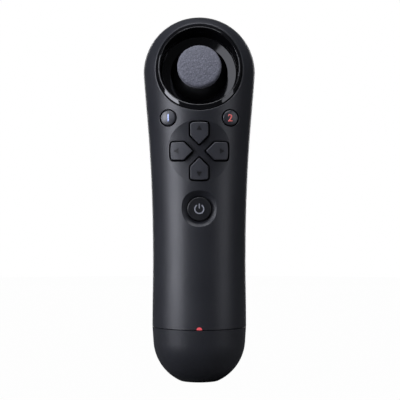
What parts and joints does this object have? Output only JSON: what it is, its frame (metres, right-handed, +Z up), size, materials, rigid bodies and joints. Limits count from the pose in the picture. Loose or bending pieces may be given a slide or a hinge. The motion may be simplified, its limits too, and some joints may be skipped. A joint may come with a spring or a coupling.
{
  "type": "navigation controller",
  "caption": "Upright one-hand game controller with a thumb stick, direction pad, round buttons, bumper and trigger.",
  "frame": {"origin": "middle of the flat base", "axes": "+Z up along the grip, -Y out of the thumb face, +X to the viewer's right when facing it"},
  "size_m": [0.0424, 0.0535, 0.138],
  "materials": {
    "case": "fine matt moulded ABS",
    "gloss_black": "polished",
    "cap_rubber": "fine leather grain",
    "black_plastic": "matt",
    "key_plastic": "satin",
    "trigger_plastic": "satin",
    "red_light": "clear red",
    "keypad_rubber": "matt",
    "board": "varnished",
    "foil": "foil",
    "lead_rubber": "matt",
    "white_plastic": "matt",
    "ribbon": "flexible film",
    "steel": "plain",
    "contact_metal": "plated"
  },
  "bodies": {
    "casing": {"front_case": "case", "rear_case": "case", "bottom_cap": "case", "stick_surround": "gloss_black", "stick_housing": "steel", "side_potentiometer": "black_plastic", "fore_potentiometer": "black_plastic", "click_switch": "steel", "stick_spring": "steel", "stick_board": "board", "stick_screws": "steel", "status_light": "red_light", "keypad": "keypad_rubber", "main_board": "board", "processor": "black_plastic", "radio_shield": "steel", "board_chips": "black_plastic", "light_source": "white_plastic", "battery": "foil", "battery_tray": "black_plastic", "battery_leads": "lead_rubber", "battery_plug": "white_plastic", "battery_socket": "white_plastic", "board_screws": "steel", "stick_ribbon": "ribbon", "ribbon_socket": "white_plastic", "case_screws": "steel", "trigger_pin": "steel", "trigger_spring": "steel", "trigger_bracket": "black_plastic", "trigger_sensor": "black_plastic", "bracket_screws": "steel", "bumper_switch": "black_plastic", "usb_socket": "steel", "usb_board": "board", "charging_contacts": "contact_metal"},
    "carriage": {"stick_carriage": "black_plastic"},
    "yoke": {"stick_yoke": "black_plastic"},
    "stick": {"stick_stem": "black_plastic", "stem_pin": "steel", "stick_cap": "cap_rubber", "stick_dust_dome": "black_plastic"},
    "cross_arm": {"stick_cross_arm": "black_plastic"},
    "pad_ball": {"pad_pivot_ball": "steel"},
    "pad": {"direction_pad": "key_plastic"},
    "button_1": {"action_button_1": "key_plastic"},
    "button_2": {"action_button_2": "key_plastic"},
    "home": {"home_button": "key_plastic"},
    "trigger": {"trigger": "trigger_plastic"},
    "bumper": {"bumper": "trigger_plastic"}
  },
  "joints": [
    {"name": "stick_click", "type": "slide", "parent": "casing", "child": "carriage", "axis": [0, 0.9744, -0.225], "range_m": [0, 0.0005], "stiffness_N_per_m": 4000, "springref_m": -0.0002, "deforming": ["stick_spring"]},
    {"name": "stick_tilt_up_down", "type": "hinge", "parent": "carriage", "child": "yoke", "pos_m": [0, 0.00166, 0.11384], "axis": [1, 0, 0], "range_deg": [-14, 14], "stiffness_Nm_per_rad": 0.04},
    {"name": "stick_tilt_left_right", "type": "hinge", "parent": "yoke", "child": "stick", "pos_m": [0, 0.00166, 0.11384], "axis": [0, 0.225, 0.9744], "range_deg": [-14, 14], "stiffness_Nm_per_rad": 0.04},
    {"name": "cross_arm_turn", "type": "hinge", "parent": "casing", "child": "cross_arm", "pos_m": [0, 0.00166, 0.11384], "axis": [0, 0.225, 0.9744], "range_deg": [-14, 14]},
    {"name": "pad_tip_up_down", "type": "hinge", "parent": "casing", "child": "pad_ball", "pos_m": [0, -0.0142, 0.0866], "axis": [1, 0, 0], "range_deg": [-4, 4], "stiffness_Nm_per_rad": 0.12},
    {"name": "pad_tip_left_right", "type": "hinge", "parent": "pad_ball", "child": "pad", "pos_m": [0, -0.0142, 0.0866], "axis": [0, 0, 1], "range_deg": [-4, 4], "stiffness_Nm_per_rad": 0.12},
    {"name": "button_1_press", "type": "slide", "parent": "casing", "child": "button_1", "axis": [0, 1, 0], "range_m": [0, 0.0009], "stiffness_N_per_m": 600, "springref_m": -0.0002},
    {"name": "button_2_press", "type": "slide", "parent": "casing", "child": "button_2", "axis": [0, 1, 0], "range_m": [0, 0.0009], "stiffness_N_per_m": 600, "springref_m": -0.0002},
    {"name": "home_press", "type": "slide", "parent": "casing", "child": "home", "axis": [0, 1, 0], "range_m": [0, 0.0006], "stiffness_N_per_m": 900, "springref_m": -0.0002},
    {"name": "trigger_pull", "type": "hinge", "parent": "casing", "child": "trigger", "pos_m": [0, 0.0142, 0.1182], "axis": [-1, 0, 0], "range_deg": [0, 12], "stiffness_Nm_per_rad": 0.12, "springref_deg": -14.32, "deforming": ["trigger_spring"]},
    {"name": "bumper_press", "type": "slide", "parent": "casing", "child": "bumper", "axis": [0, -0.866, -0.5], "range_m": [0, 0.001], "stiffness_N_per_m": 900, "springref_m": -0.0002}
  ],
  "couplings": [
    {"joint": "cross_arm_turn", "follows": "stick_tilt_left_right", "ratio": 1}
  ]
}
